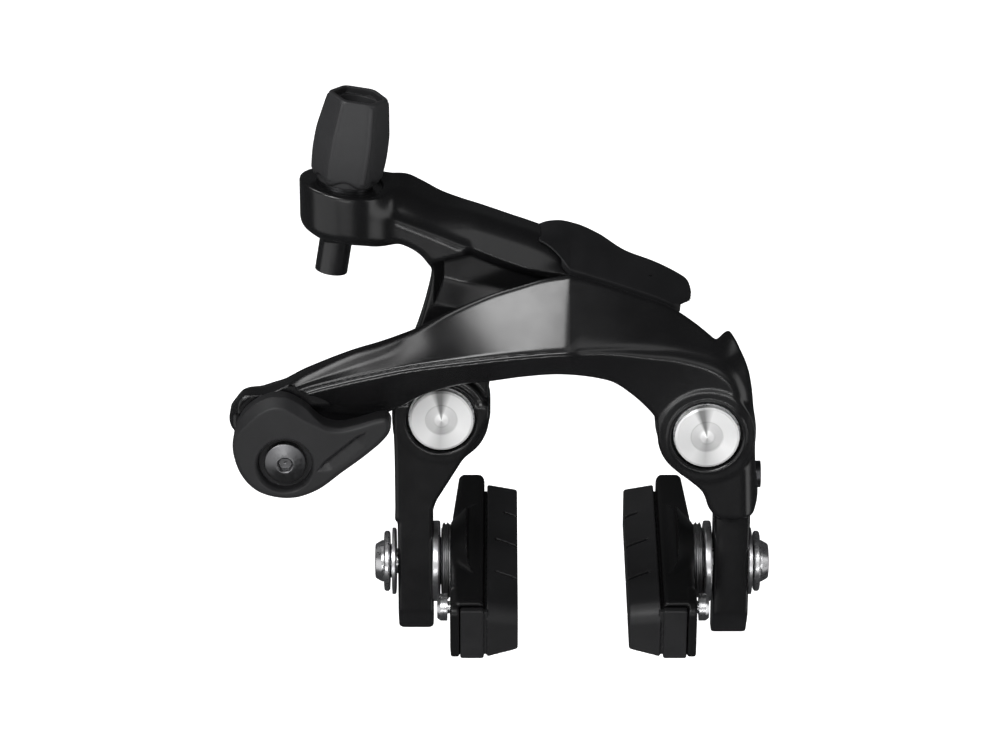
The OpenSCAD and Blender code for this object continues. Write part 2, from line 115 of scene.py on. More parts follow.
class Flat:
    """Signed distance to a closed flat outline, negative inside, on a fine lattice with cubic interpolation."""

    def __init__(self, points, lo, hi, h=0.4, step=0.35, soften=1):
        line = outline(points, step=step)
        self.h, self.lo = h, np.array(lo, float)
        nx = int((hi[0] - lo[0]) / h) + 2
        nz = int((hi[1] - lo[1]) / h) + 2
        gx = lo[0] + h * np.arange(nx)[:, None]
        gz = lo[1] + h * np.arange(nz)[None, :]
        best = np.full((nx, nz), 1e9, np.float64)
        inside = np.zeros((nx, nz), bool)
        for (ax, az), (bx, bz) in zip(line, np.roll(line, -1, axis=0)):
            ex, ez = bx - ax, bz - az
            q = ex * ex + ez * ez
            if q < 1e-12:
                continue
            wx, wz = gx - ax, gz - az
            t = np.clip((wx * ex + wz * ez) / q, 0.0, 1.0)
            np.minimum(best, (wx - t * ex) ** 2 + (wz - t * ez) ** 2, out=best)
            if az != bz:
                cols = (gz[0] >= min(az, bz)) & (gz[0] < max(az, bz))
                if cols.any():
                    cross = ax + (gz[0][cols] - az) / (bz - az) * ex
                    inside[:, cols] ^= gx < cross[None, :]
        d = np.sqrt(best)
        d[inside] *= -1.0
        for _ in range(soften):
            for axis in (0, 1):
                e = np.pad(d, [(2, 2) if a == axis else (0, 0) for a in (0, 1)], mode="edge")
                s = [np.take(e, np.arange(k, k + d.shape[axis]), axis=axis) for k in range(5)]
                d = (s[0] + 4 * s[1] + 6 * s[2] + 4 * s[3] + s[4]) / 16.0
        self.d = d

    def __call__(self, x, z):
        n, m = self.d.shape
        u = np.clip((x - self.lo[0]) / self.h, 1.0, n - 2.001)
        v = np.clip((z - self.lo[1]) / self.h, 1.0, m - 2.001)
        i, j = np.floor(u).astype(np.int32), np.floor(v).astype(np.int32)
        s, t = u - i, v - j

        def weights(a):
            return (-0.5 * a + a * a - 0.5 * a**3, 1 - 2.5 * a * a + 1.5 * a**3,
                    0.5 * a + 2 * a * a - 1.5 * a**3, -0.5 * a * a + 0.5 * a**3)

        ws, wt = weights(s), weights(t)
        total = 0.0
        for a in range(4):
            for b in range(4):
                total = total + ws[a] * wt[b] * self.d[i + a - 1, j + b - 1]
        return total


class Curve1:
    """A smooth function through given (x, value) pairs, level beyond its ends."""

    def __init__(self, pairs):
        self.x = np.array([a for a, _ in pairs], float)
        y = np.array([b for _, b in pairs], float)
        d = np.diff(y) / np.diff(self.x)
        m = np.zeros_like(y)
        for i in range(1, len(y) - 1):
            if d[i - 1] * d[i] > 0:
                m[i] = 2 * d[i - 1] * d[i] / (d[i - 1] + d[i])
        self.y, self.m = y, m

    def __call__(self, x):
        x = np.clip(x, self.x[0], self.x[-1])
        i = np.clip(np.searchsorted(self.x, x, side="right") - 1, 0, len(self.x) - 2)
        h = self.x[i + 1] - self.x[i]
        t = (x - self.x[i]) / h
        return ((2 * t**3 - 3 * t**2 + 1) * self.y[i] + (t**3 - 2 * t**2 + t) * h * self.m[i]
                + (3 * t**2 - 2 * t**3) * self.y[i + 1] + (t**3 - t**2) * h * self.m[i + 1])


def gradient(f, v, e):
    g, s = np.zeros_like(v), 0.0
    for d in ((1, -1, -1), (-1, -1, 1), (-1, 1, -1), (1, 1, 1)):
        d = np.array(d, float)
        q = v + e * d
        w = f(q[:, 0], q[:, 1], q[:, 2])
        g += w[:, None] * d
        s = s + w
    return g / (4 * e), s / 4


def skin(f, lo, hi, h, passes=3, relax=1, e=0.06):
    """Quads over the surface f = 0 inside a box: one vertex per cell, then moved onto the surface."""
    n = [int(math.ceil((b - a) / h)) + 1 for a, b in zip(lo, hi)]
    ax = [lo[i] + h * np.arange(n[i]) for i in range(3)]
    F = np.broadcast_to(f(ax[0][:, None, None], ax[1][None, :, None], ax[2][None, None, :]), n).astype(np.float32)
    S = F < 0
    count = np.zeros([m - 1 for m in n], np.int8)
    for i in (0, 1):
        for j in (0, 1):
            for k in (0, 1):
                count += S[i:n[0] - 1 + i, j:n[1] - 1 + j, k:n[2] - 1 + k]
    active = (count > 0) & (count < 8)
    cell = np.argwhere(active)
    index = np.full(active.shape, -1, np.int64)
    index[active] = np.arange(len(cell))
    P, W = np.zeros((len(cell), 3)), np.zeros(len(cell))
    for axis in range(3):
        o = [a for a in range(3) if a != axis]
        for u in (0, 1):
            for v in (0, 1):
                c = cell.copy()
                c[:, o[0]] += u
                c[:, o[1]] += v
                d = c.copy()
                d[:, axis] += 1
                a, b = F[tuple(c.T)].astype(float), F[tuple(d.T)].astype(float)
                m = (a < 0) != (b < 0)
                q = (c - cell).astype(float)
                q[:, axis] += np.where(m, a / (a - b + 1e-12), 0.0)
                P[m] += q[m]
                W += m
    V = np.array(lo, float) + h * (cell + P / W[:, None])
    quads = []
    for axis in range(3):
        o = [a for a in range(3) if a != axis]
        here = [slice(None)] * 3
        there = [slice(None)] * 3
        here[axis], there[axis] = slice(0, n[axis] - 1), slice(1, n[axis])
        for a in o:
            here[a] = there[a] = slice(1, n[a] - 1)
        A, B = S[tuple(here)], S[tuple(there)]
        p = np.argwhere(A != B)
        inside = A[tuple(p.T)]
        for a in o:
            p[:, a] += 1
        corner = []
        for u, v in ((0, 0), (-1, 0), (-1, -1), (0, -1)):
            q = p.copy()
            q[:, o[0]] += u
            q[:, o[1]] += v
            corner.append(index[tuple(q.T)])
        Q = np.stack(corner, axis=1)
        flip = ~inside if axis != 1 else inside
        Q[flip] = Q[flip][:, ::-1]
        quads.append(Q)
    Q = np.concatenate(quads)

    def settle(V, times):
        for _ in range(times):
            g, val = gradient(f, V, e)
            m = np.linalg.norm(g, axis=1) + 1e-9
            V = V - (g / m[:, None]) * np.clip(val / m, -0.7 * h, 0.7 * h)[:, None]
        return V

    V = settle(V, passes)
    a, b = Q.ravel(), np.roll(Q, -1, axis=1).ravel()
    for _ in range(relax):
        total = np.stack([np.bincount(np.concatenate([a, b]), np.concatenate([V[b, k], V[a, k]]), len(V)) for k in range(3)], axis=1)
        degree = np.bincount(np.concatenate([a, b]), minlength=len(V))[:, None]
        V = settle(V * 0.5 + 0.5 * total / degree, 2)
    g, _ = gradient(f, V, e)
    N = g / (np.linalg.norm(g, axis=1)[:, None] + 1e-9)
    return V, Q, N


MATERIALS = {}


def make(name, V, Q, N, material, body, replaced):
    me = bpy.data.meshes.new(name)
    me.vertices.add(len(V))
    me.vertices.foreach_set("co", (np.asarray(V, np.float32) * MM).ravel())
    me.loops.add(Q.size)
    me.loops.foreach_set("vertex_index", Q.astype(np.int32).ravel())
    me.polygons.add(len(Q))
    me.polygons.foreach_set("loop_start", (np.arange(len(Q)) * Q.shape[1]).astype(np.int32))
    me.update(calc_edges=True)
    me.polygons.foreach_set("use_smooth", np.ones(len(Q), bool))
    me.materials.append(MATERIALS[material])
    if N is not None:
        me.normals_split_custom_set_from_vertices(N.tolist())
    me.update()
    ob = bpy.data.objects.new(name, me)
    bpy.context.scene.collection.objects.link(ob)
    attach(ob, body)
    if replaced:
        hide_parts(*replaced)
    return ob


def piece(name, f, lo, hi, h, material, body, slot, replaced=(), **options):
    V, Q, N = skin(f, lo, hi, h, **options)
    return make(name, V, Q, N, material, body, replaced)


# ------------------------------------------------------------------ frames of the pieces
PX = 31.0
QX, QZ = -66.6, -0.3          # quick-release hub
BX, BZ = -67.1, -4.9          # cable anchor bolt
LEAN = math.radians(9.3)
PITCH = math.radians(8.0)
SY, SZ = -12.5, -38.8         # shoe bolt


def adjuster(x, y, z):
    """Adjuster coordinates: u across to the right, v = y, w along the leaning axis."""
    a, b = x + 53.0, z - 57.3
    return a * math.cos(LEAN) - b * math.sin(LEAN), y + 12.0, a * math.sin(LEAN) + b * math.cos(LEAN)


def shoe(side):
    def to(x, y, z):
        b, c = y - SY, z - SZ
        return x * side, b * math.cos(PITCH) + c * math.sin(PITCH), -b * math.sin(PITCH) + c * math.cos(PITCH)
    return to


def slot_hole(y, z, r=3.4, reach=4.8):
    """The long hole in a leg, in the plane across it."""
    c = np.clip(z - SZ, -reach, reach)
    return np.sqrt((y - SY) ** 2 + (z - SZ - c) ** 2) - r


# ------------------------------------------------------------------ materials
def material(name, build):
    mat = bpy.data.materials.new(name)
    mat.use_nodes = True
    nt = mat.node_tree
    nt.nodes.clear()
    out = nt.nodes.new("ShaderNodeOutputMaterial")
    b = nt.nodes.new("ShaderNodeBsdfPrincipled")
    nt.links.new(b.outputs["BSDF"], out.inputs["Surface"])
    build(nt, b)
    MATERIALS[name] = mat
    return mat


def coords(nt, scale):
    c = nt.nodes.new("ShaderNodeTexCoord")
    m = nt.nodes.new("ShaderNodeMapping")
    m.inputs["Scale"].default_value = scale
    nt.links.new(c.outputs["Object"], m.inputs["Vector"])
    return m.outputs["Vector"]


def noise(nt, vector, scale, detail=3.0, rough=0.5):
    n = nt.nodes.new("ShaderNodeTexNoise")
    n.inputs["Scale"].default_value = scale
    n.inputs["Detail"].default_value = detail
    n.inputs["Roughness"].default_value = rough
    nt.links.new(vector, n.inputs["Vector"])
    return n.outputs["Fac"]


def ramp(nt, fac, stops):
    r = nt.nodes.new("ShaderNodeValToRGB")
    while len(r.color_ramp.elements) < len(stops):
        r.color_ramp.elements.new(0.5)
    for e, (p, c) in zip(r.color_ramp.elements, stops):
        e.position = p
        e.color = (*c, 1.0) if isinstance(c, tuple) else (c, c, c, 1.0)
    nt.links.new(fac, r.inputs["Fac"])
    return r.outputs["Color"]


def bump(nt, height, strength, distance):
    b = nt.nodes.new("ShaderNodeBump")
    b.inputs["Strength"].default_value = strength
    b.inputs["Distance"].default_value = distance
    nt.links.new(height, b.inputs["Height"])
    return b.outputs["Normal"]


def painted(base, spread, rough, rough_spread, grain, strength, specular, coat=0.0, coat_rough=0.1, metallic=0.0):
    """Paint, anodising, rubber or plastic: colour and gloss wander slightly over a fine grain."""
    def build(nt, b):
        v = coords(nt, (1, 1, 1))
        wide = noise(nt, v, 60.0, 2.0)
        col = ramp(nt, wide, [(0.3, tuple(c * (1 - spread) for c in base)), (0.7, tuple(c * (1 + spread) for c in base))])
        nt.links.new(col, b.inputs["Base Color"])
        mid = noise(nt, v, 240.0, 3.0)
        nt.links.new(ramp(nt, mid, [(0.3, rough - rough_spread), (0.7, rough + rough_spread)]), b.inputs["Roughness"])
        nt.links.new(bump(nt, noise(nt, v, grain, 3.0), strength, 0.00006), b.inputs["Normal"])
        b.inputs["Specular IOR Level"].default_value = specular
        b.inputs["Metallic"].default_value = metallic
        b.inputs["Coat Weight"].default_value = coat
        b.inputs["Coat Roughness"].default_value = coat_rough
    return build


def metal(base, rough, grain, strength, stretch=(1, 1, 1), anisotropy=0.0):
    def build(nt, b):
        v = coords(nt, stretch)
        f = noise(nt, v, grain, 4.0)
        nt.links.new(ramp(nt, f, [(0.25, tuple(c * 0.82 for c in base)), (0.75, base)]), b.inputs["Base Color"])
        nt.links.new(ramp(nt, f, [(0.25, rough * 0.75), (0.75, rough * 1.25)]), b.inputs["Roughness"])
        nt.links.new(bump(nt, f, strength, 0.00004), b.inputs["Normal"])
        b.inputs["Metallic"].default_value = 1.0
        b.inputs["Anisotropic"].default_value = anisotropy
    return build


def turned_face_with_painted_shade(centre, painted_wedge):
    """Bright turned metal: fine rings around an axis along Y. The two wedges of shade are painted shade in the base
    colour, and the brighter centre and rim are painted highlight.
    """
    def build(nt, b):
        c = nt.nodes.new("ShaderNodeTexCoord")
        m = nt.nodes.new("ShaderNodeMapping")
        m.inputs["Scale"].default_value = (100.0, 100.0, 100.0)
        m.inputs["Location"].default_value = (-centre[0] * 0.1, 0.0, -centre[1] * 0.1)
        nt.links.new(c.outputs["Object"], m.inputs["Vector"])
        sep = nt.nodes.new("ShaderNodeSeparateXYZ")
        nt.links.new(m.outputs["Vector"], sep.inputs["Vector"])
        flat = nt.nodes.new("ShaderNodeCombineXYZ")
        nt.links.new(sep.outputs["X"], flat.inputs["X"])
        nt.links.new(sep.outputs["Z"], flat.inputs["Z"])
        length = nt.nodes.new("ShaderNodeVectorMath")
        length.operation = "LENGTH"
        nt.links.new(flat.outputs["Vector"], length.inputs[0])
        radius = nt.nodes.new("ShaderNodeCombineXYZ")
        nt.links.new(length.outputs["Value"], radius.inputs["X"])
        rings = noise(nt, radius.outputs["Vector"], 60.0, 2.0)
        upright = nt.nodes.new("ShaderNodeCombineXYZ")
        nt.links.new(sep.outputs["X"], upright.inputs["X"])
        nt.links.new(sep.outputs["Z"], upright.inputs["Y"])
        round_ = nt.nodes.new("ShaderNodeTexGradient")
        round_.gradient_type = "RADIAL"
        nt.links.new(upright.outputs["Vector"], round_.inputs["Vector"])
        # painted shade: by angle around the axis, the base colour darkens to a narrow wedge at twelve o'clock and a
        # broader one at six o'clock
        painted_shade = ramp(nt, round_.outputs["Fac"], [(0.0, 0.60), (0.15, 0.54), (0.24, 0.34), (0.33, 0.48), (0.42, 0.62), (painted_wedge - 0.06, 0.68),
                                                 (painted_wedge - 0.005, 0.18), (painted_wedge + 0.02, 0.18), (painted_wedge + 0.055, 0.68), (1.0, 0.60)])
        # painted highlight: the centre and the outer rim are brighter than the band between them
        painted_highlight = ramp(nt, length.outputs["Value"], [(0.14, 1.0), (0.18, 0.78), (0.375, 0.76), (0.395, 1.0)])
        fine = ramp(nt, rings, [(0.3, 0.97), (0.7, 1.0)])
        one = nt.nodes.new("ShaderNodeVectorMath")
        one.operation = "MULTIPLY"
        nt.links.new(painted_shade, one.inputs[0])
        nt.links.new(painted_highlight, one.inputs[1])
        two = nt.nodes.new("ShaderNodeVectorMath")
        two.operation = "MULTIPLY"
        nt.links.new(one.outputs["Vector"], two.inputs[0])
        nt.links.new(fine, two.inputs[1])
        nt.links.new(two.outputs["Vector"], b.inputs["Base Color"])
        nt.links.new(ramp(nt, rings, [(0.3, 0.40), (0.7, 0.44)]), b.inputs["Roughness"])
        nt.links.new(bump(nt, rings, 0.05, 0.00003), b.inputs["Normal"])
        # the tangent points away from the axis
        unit = nt.nodes.new("ShaderNodeVectorMath")
        unit.operation = "NORMALIZE"
        nt.links.new(flat.outputs["Vector"], unit.inputs[0])
        nt.links.new(unit.outputs["Vector"], b.inputs["Tangent"])
        b.inputs["Metallic"].default_value = 0.4
        b.inputs["Anisotropic"].default_value = 0.5
    return build


material("gloss_black", painted((0.0045, 0.0045, 0.0048), 0.15, 0.25, 0.02, 1400.0, 0.02, 0.42))
material("matte_black", painted((0.0085, 0.0085, 0.0092), 0.2, 0.5, 0.04, 3800.0, 0.2, 0.2))
material("barrel_black", painted((0.006, 0.006, 0.0065), 0.1, 0.24, 0.02, 2600.0, 0.03, 0.5))
material("lever_grey", painted((0.0135, 0.0135, 0.0142), 0.1, 0.46, 0.04, 5200.0, 0.2, 0.2))
material("knob_rubber", painted((0.017, 0.017, 0.018), 0.1, 0.55, 0.05, 4200.0, 0.3, 0.35))
material("holder_black", painted((0.0038, 0.0038, 0.004), 0.15, 0.36, 0.03, 3000.0, 0.08, 0.2))
material("pad_rubber", painted((0.009, 0.009, 0.0096), 0.2, 0.5, 0.05, 3600.0, 0.25, 0.25))
material("plate_black", painted((0.010, 0.010, 0.011), 0.15, 0.36, 0.03, 2600.0, 0.1, 0.4))
material("nylon", painted((0.62, 0.60, 0.55), 0.05, 0.5, 0.05, 2600.0, 0.1, 0.4))
material("bush_bronze", metal((0.62, 0.44, 0.24), 0.4, 900.0, 0.1))
material("steel", metal((0.66, 0.66, 0.67), 0.30, 1400.0, 0.08))
material("washer_steel", metal((0.60, 0.60, 0.61), 0.34, 1800.0, 0.12))
material("seat_steel", metal((0.30, 0.30, 0.305), 0.38, 1800.0, 0.12))
material("dark_steel", metal((0.10, 0.10, 0.105), 0.36, 1800.0, 0.12))
material("satin_steel", metal((0.17, 0.17, 0.175), 0.42, 1600.0, 0.06))
material("spring_steel", metal((0.48, 0.48, 0.5), 0.32, 1400.0, 0.08))
# pivot caps: turned metal with painted shade wedges and painted highlight in the base colour
material("turned_left_painted_shade", turned_face_with_painted_shade((-PX, 0.0), 0.752))
material("turned_right_painted_shade", turned_face_with_painted_shade((PX, 0.0), 0.775))


# ------------------------------------------------------------------ right (front) arm
BOX_LO, BOX_HI = (-88.0, -30.0), (50.0, 66.0)

ARM = Flat([(-80.3, 1.5), (-80.2, 4.6), (-78.7, 7.9), (-76.3, 10.3), (-74.6, 10.4), (-72.8, 10.4), (-62.1, 15.5), (-50.4, 20.3),
            (-45, 22.0), (-35.7, 25.8), (-30, 28.9), (-22.5, 32.4), (-18.8, 33.9), (-11.9, 36.1), (-8.3, 37.2), (-1.0, 38.5, 1),
            (8.1, 35.9), (16.6, 32.9), (21.6, 31.2), (24.5, 29.5), (28.1, 26.8), (32.9, 22.3, 1), (35.3, 24.8), (36.5, 25.0),
            (37.8, 23.3), (40.2, 17.6), (41.2, 12.3), (42.1, 3.9), (42.7, -8), (43, -19.4), (42.4, -20.9), (41, -21.3, 1), (34, -21.3, 1),
            (32.2, -19.4), (30.2, -14.6), (26.8, -11.3), (24.4, -8.3), (21.8, -5.7), (20.4, -2.6), (19.9, 0.7), (18.9, 4.2),
            (16.5, 7.2), (13.1, 10.3), (8.8, 12.9), (5.8, 13.6), (-3.3, 14.6), (-11.9, 14), (-19.4, 12.9), (-26, 12.1),
            (-30.8, 10.9), (-35.6, 9.2), (-40, 6.7), (-43.4, 5), (-49, 1.6), (-54, -3), (-57.5, -7), (-62, -10.8),
            (-68, -11.7), (-73.5, -9.5), (-77, -5.5), (-78.1, -0.8)], BOX_LO, (50.0, 46.0))

TOP = Flat([(-120, -14, 1), (-82, 6.2), (-72.8, 10.6), (-62.1, 15.6), (-50.4, 20.4), (-45, 22.1), (-35.7, 25.9), (-30, 29.0),
            (-22.5, 32.5), (-18.8, 34.0), (-11.9, 36.2), (-8.3, 37.3), (-1.0, 38.6, 1), (8.1, 36.0), (16.6, 33.0), (21.6, 31.3),
            (28.1, 28.4), (33.5, 26.0), (37.0, 23.6), (40.2, 17.6), (41.4, 12.3), (42.4, 3.9), (43.0, -8), (43.3, -20), (43.5, -80, 1),
            (-120, -80, 1)], BOX_LO, (50.0, 46.0))

CREST = Flat([(-120, -8, 1), (-84, 3.4), (-75, 7.2), (-65.7, 10.3), (-62.9, 11.6), (-53.4, 14.4), (-44.8, 16.4), (-41.1, 17.2),
              (-24.3, 19.6), (-12, 21.0), (-1.0, 21.8), (10.9, 21.6), (18, 20.9), (22.6, 20.4), (27, 19.4), (31.5, 17.9), (34.5, 16.2),
              (37.2, 13.4), (38.9, 9), (39.6, 4), (40.2, -6), (40.6, -16), (41, -80, 1), (-120, -80, 1)], BOX_LO, (50.0, 46.0))

UNDER = Flat([(-120, 2, 1), (-80, 6), (-64, 6), (-58, 5.5), (-50, 4.4), (-43.4, 5.2), (-40, 6.8), (-35.6, 9.3), (-30.8, 11.0),
              (-26, 12.2), (-19.4, 13.0), (-11.9, 14.1), (-3.3, 14.7), (5.8, 13.7), (8.8, 13), (13.1, 10.4), (16.5, 7.3),
              (18.9, 4.3), (19.9, 0.8), (20.4, -2.5), (21.8, -5.6), (24.4, -8.2), (26.8, -11.2), (30.2, -14.6), (32.2, -19.8),
              (33, -80, 1), (120, -80, 1), (120, 120, 1), (-120, 120, 1)], BOX_LO, (50.0, 46.0))

REAR = Flat([(20, -3), (19.4, 4), (21, 10), (26, 13.4), (31, 14.4), (37, 13), (41, 8), (42.3, 0), (42.4, -10), (42.5, -22, 1), (38, -25, 1),
             (33.4, -24, 1), (32, -19), (29, -14.4), (24, -8.8)], BOX_LO, (50.0, 46.0))


def front_face(x, z):
    """Depth of the front surface of the long arm."""
    c = CREST(x, z)
    dt = -TOP(x, z)
    db = -UNDER(x, z)
    left = step01((1.6 - x) / 4.2)
    w = (1.55 - 0.35 * step01((x + 30.0) / 30.0)) * left
    base = smin(-31.0 + 0.13 * hinge(x + 1.0, 0.12), -27.3, 1.0)
    low, high = base - 0.35 * left, base + 0.35 * left
    top = smin(-22.6 + 0.10 * hinge(x + 1.0, 0.12), -19.9, 0.6)
    side = step01((x - 30.0) / 5.0) * step01((19.0 - z) / 9.0)
    top = top * (1 - side) - 23.4 * side
    bottom = -25.5 - 1.4 * step01((x - 5.0) / 11.0)
    upper = high + (top - high) * (c - w) / np.maximum(c - w + dt, 0.6)
    under = low + (bottom - low) * (-c) / np.maximum(db - c, 0.6)
    under = smin(under, bottom, 0.6)
    k = 0.4 + 1.9 * (1 - left)
    y = smax(upper, high, k)
    y = smin(y, low + 1.25 * c + 0.001, 0.35)
    y = smax(y, under, k)
    y = smax(y, -30.4 + 1.36 * (-75.6 - x), 0.8)
    return y


def front_arm(x, y, z):
    o = ARM(x, z)
    yf = front_face(x, z)
    above = np.clip(CREST(x, z) / 3.0, 0.0, 1.0)
    back = o + 0.45 * above * np.maximum(y + 22.4, 0.0)
    beam = smax(smax(back, (yf - y) * 0.86, 1.1), y + 19.2, 0.5)
    foot = prism(REAR(x, z), y, -19.6, -6.4, 0.8)
    leg = prism(box2(x, z, 33.8, 42.3, -58.4, -8.0, 0.9), y, -18.5 + 0.035 * (x - 38.4) ** 2, -7.4, 0.8)
    leg = smax(leg, (-18.5 + 0.85 * (-50.0 - z) - y) * 0.76, 0.5)
    d = smin(smin(beam, foot, 1.0), leg, 1.0)
    d = smin(d, prism(rod(x, z, 11.4, PX, 0.0), y, -27.1, -6.5, 0.6), 1.2)
    d = smin(d, prism(rod(x, z, 6.9, PX, 0.0), y, -8.0, -4.0, 0.2), 0.3)
    d = smin(d, prism(rod(x, z, 11.5, QX, QZ), y, -25.45, -19.25, 0.5), 0.6)
    shelf = np.maximum(prism(np.maximum(rod(x, z, 24.94), 13.6 - z), y, -19.6, -9.6, 0.3), np.maximum(-9.0 - x, x - 10.0))
    d = smin(d, shelf, 0.5)
    # seat of the silver cap, with a fine bead around it
    d = smax(d, -prism(rod(x, z, 8.3, PX, 0.0), y, -60.0, -25.6, 0.01), 0.35)
    bead = np.sqrt(rod(x, z, 8.95, PX, 0.0) ** 2 + (y + 27.25) ** 2) - 0.42
    d = smin(d, bead, 0.25)
    d = np.maximum(d, -rod(x, z, 6.0, PX, 0.0))
    # quick-release hub and the room the lever turns in
    d = np.maximum(d, -np.maximum(rod(x, z, 8.0, QX, QZ), y + 15.0))
    d = smax(d, -prism(rod(x, z, 13.3, QX, QZ), y, -60.0, -27.3, 0.01), 0.3)
    # long hole for the shoe, pocket and screw of the centring block
    d = smax(d, -np.maximum(slot_hole(y, z), np.abs(x - 38.0) - 6.5), 0.3)
    pocket = np.maximum(np.maximum(34.2 - x, x - 39.0), np.maximum(np.maximum(-13.1 - y, y + 5.0), np.maximum(-20.2 - z, z + 14.0)))
    d = np.maximum(d, -pocket)
    d = np.maximum(d, -np.maximum(np.sqrt((y + 10.0) ** 2 + (z + 17.1) ** 2) - 2.04, 38.5 - x))
    # nothing thin is left standing beside the hub
    d = smax(d, -np.maximum(x + 71.5, y + 27.3), 0.5)
    return d


piece("look_front_arm", front_arm, (-82.5, -33.0, -59.8), (45.0, -3.0, 41.0), 0.42, "gloss_black", "right_arm", "gloss_black", ["right_arm"])


# ------------------------------------------------------------------ left (rear) arm and its cover
BEAM_TOP = Flat([(-120, 57.2, 1), (-60, 57.2), (-46, 56.6), (-42.6, 57.0), (-41.3, 57.1), (-38.8, 56.9), (-35.4, 55.3), (-31, 52.8),
                 (-27.3, 51.3), (-21.9, 49.5), (-15.8, 47.3), (-7.6, 44.3), (-1, 41.2), (4, 38.7), (11.5, 35), (19, 31.7),
                 (25, 29.2), (50, 18), (120, -10, 1), (120, -60, 1), (-120, -60, 1)], BOX_LO, BOX_HI, step=0.6)
FACET_TOP = Flat([(-120, 57.2, 1), (-60, 57.2), (-46, 57.4), (-42.6, 57.6), (-38.8, 56.6), (-35.4, 54.2), (-31, 52.2), (-27.3, 51.2),
                  (-21.9, 49.5), (-15.8, 47.4), (-10, 45.0), (-7.6, 43.8), (-4, 41.2), (-0.7, 37.9), (3, 36.3), (8.3, 34.6),
                  (14.8, 32.5), (22.1, 29.6), (50, 18), (120, -10, 1), (120, -60, 1), (-120, -60, 1)], BOX_LO, BOX_HI, step=0.6)
BEAM_LOW = Flat([(-120, 54, 1), (-60, 54), (-50, 52.4), (-43.1, 50.3), (-37, 48.1), (-30.8, 45.6), (-23.4, 42.4), (-17.3, 39.8),
                 (-12.1, 37.9), (-8.6, 36.9), (-1.2, 35.9), (6, 33.6), (11, 31), (18, 28.4), (24, 26.8), (50, 20), (120, 0, 1),
                 (120, 140, 1), (-120, 140, 1)], BOX_LO, BOX_HI, step=0.6)
POST = Flat([(-42.1, -4, 1), (-42.1, 1), (-41.4, 8), (-39.2, 14), (-35.9, 23), (-34.4, 28.3), (-33.3, 33.5), (-33.1, 36.3),
             (-33.6, 38.6), (-35.6, 41.3), (-39.2, 43.5), (-43.6, 44.6), (-50, 45.2, 1), (-48, 52, 1), (-40, 49, 1), (-20, 43, 1),
             (0.6, 38.5, 1), (-1.0, 34.0, 1), (-6.0, 31.8), (-9.8, 29.4), (-13, 26.5), (-15.5, 22.5), (-17.5, 18.5), (-18.8, 14), (-19.6, 9),
             (-19.8, 0, 1), (-30, -5, 1)], BOX_LO, BOX_HI, step=0.6)
NECK = Flat([(-58, 44.4, 1), (-48, 44.5), (-43.6, 44.7), (-39.2, 43.6), (-35.6, 41.4), (-33.4, 38.8, 1), (-25, 41, 1), (-25, 43, 1),
             (-30.8, 45.6), (-37, 48.2), (-43.1, 50.6), (-50, 53), (-58, 54, 1)], BOX_LO, BOX_HI, step=0.6)
LEDGE = Curve1([(-34, 34.4), (-31.4, 33.9), (-24.9, 32.3), (-17.2, 31.2), (-8, 30.2), (0, 29.8)])
COVER_REAR = Curve1([(-12, 42.9), (-8.3, 44.1), (-5.9, 44.9), (-3.6, 45.1), (0.4, 44.3), (5.5, 42.0), (12.1, 37.6), (19.5, 34.6),
                     (25.4, 31.4), (27.3, 29.9), (28.6, 27.4)])
COVER_FRONT = Curve1([(-12, 44.2), (-8.2, 44.0), (-6, 43.0), (-4, 41.4), (-2, 39.2), (-0.7, 37.9), (3, 36.7), (8.3, 35.0), (14.8, 32.8),
                      (19.7, 31.0), (22.1, 29.9), (26, 28.2), (29, 26.6)])
COVER_NOSE = Curve1([(-12, -13.8), (-8.2, -14.0), (-4, -15.6), (-0.7, -17.3), (3, -17.4), (22, -17.4), (25, -16.6), (27, -14.2), (28.3, -10)])


def cover_top(x, y):
    s = np.clip((-3.0 - y) / (-3.0 - COVER_NOSE(x)), 0.0, 1.0)
    rear, front = COVER_REAR(x), COVER_FRONT(x)
    return rear + (front - rear) * s ** 1.6


def left_leg(x, z):
    strip = box2(x, z, -42.1 + 1.2 * step01((4.0 - z) / 18.0) - 0.7 * step01((-22.0 - z) / 6.0), -33.2, -57.0, 4.0, 1.4)
    # the slanting web from the leg up to the pivot
    a = ((x + 33.4) * (-12.3 + 23.2) - (z + 23.2) * (-26.4 + 33.4)) / math.hypot(10.9, 7.0)
    b = ((x + 26.4) * (0.3 + 12.3) - (z + 12.3) * (-19.7 + 26.4)) / math.hypot(12.6, 6.7)
    web = smax(smax(a, b, 2.5), smax(-42.1 - x, z - 4.0, 0.5), 0.5)
    web = smax(smax(web, -26.0 - z, 0.5), x + 19.75, 1.0)
    return smin(strip, web, 1.6)


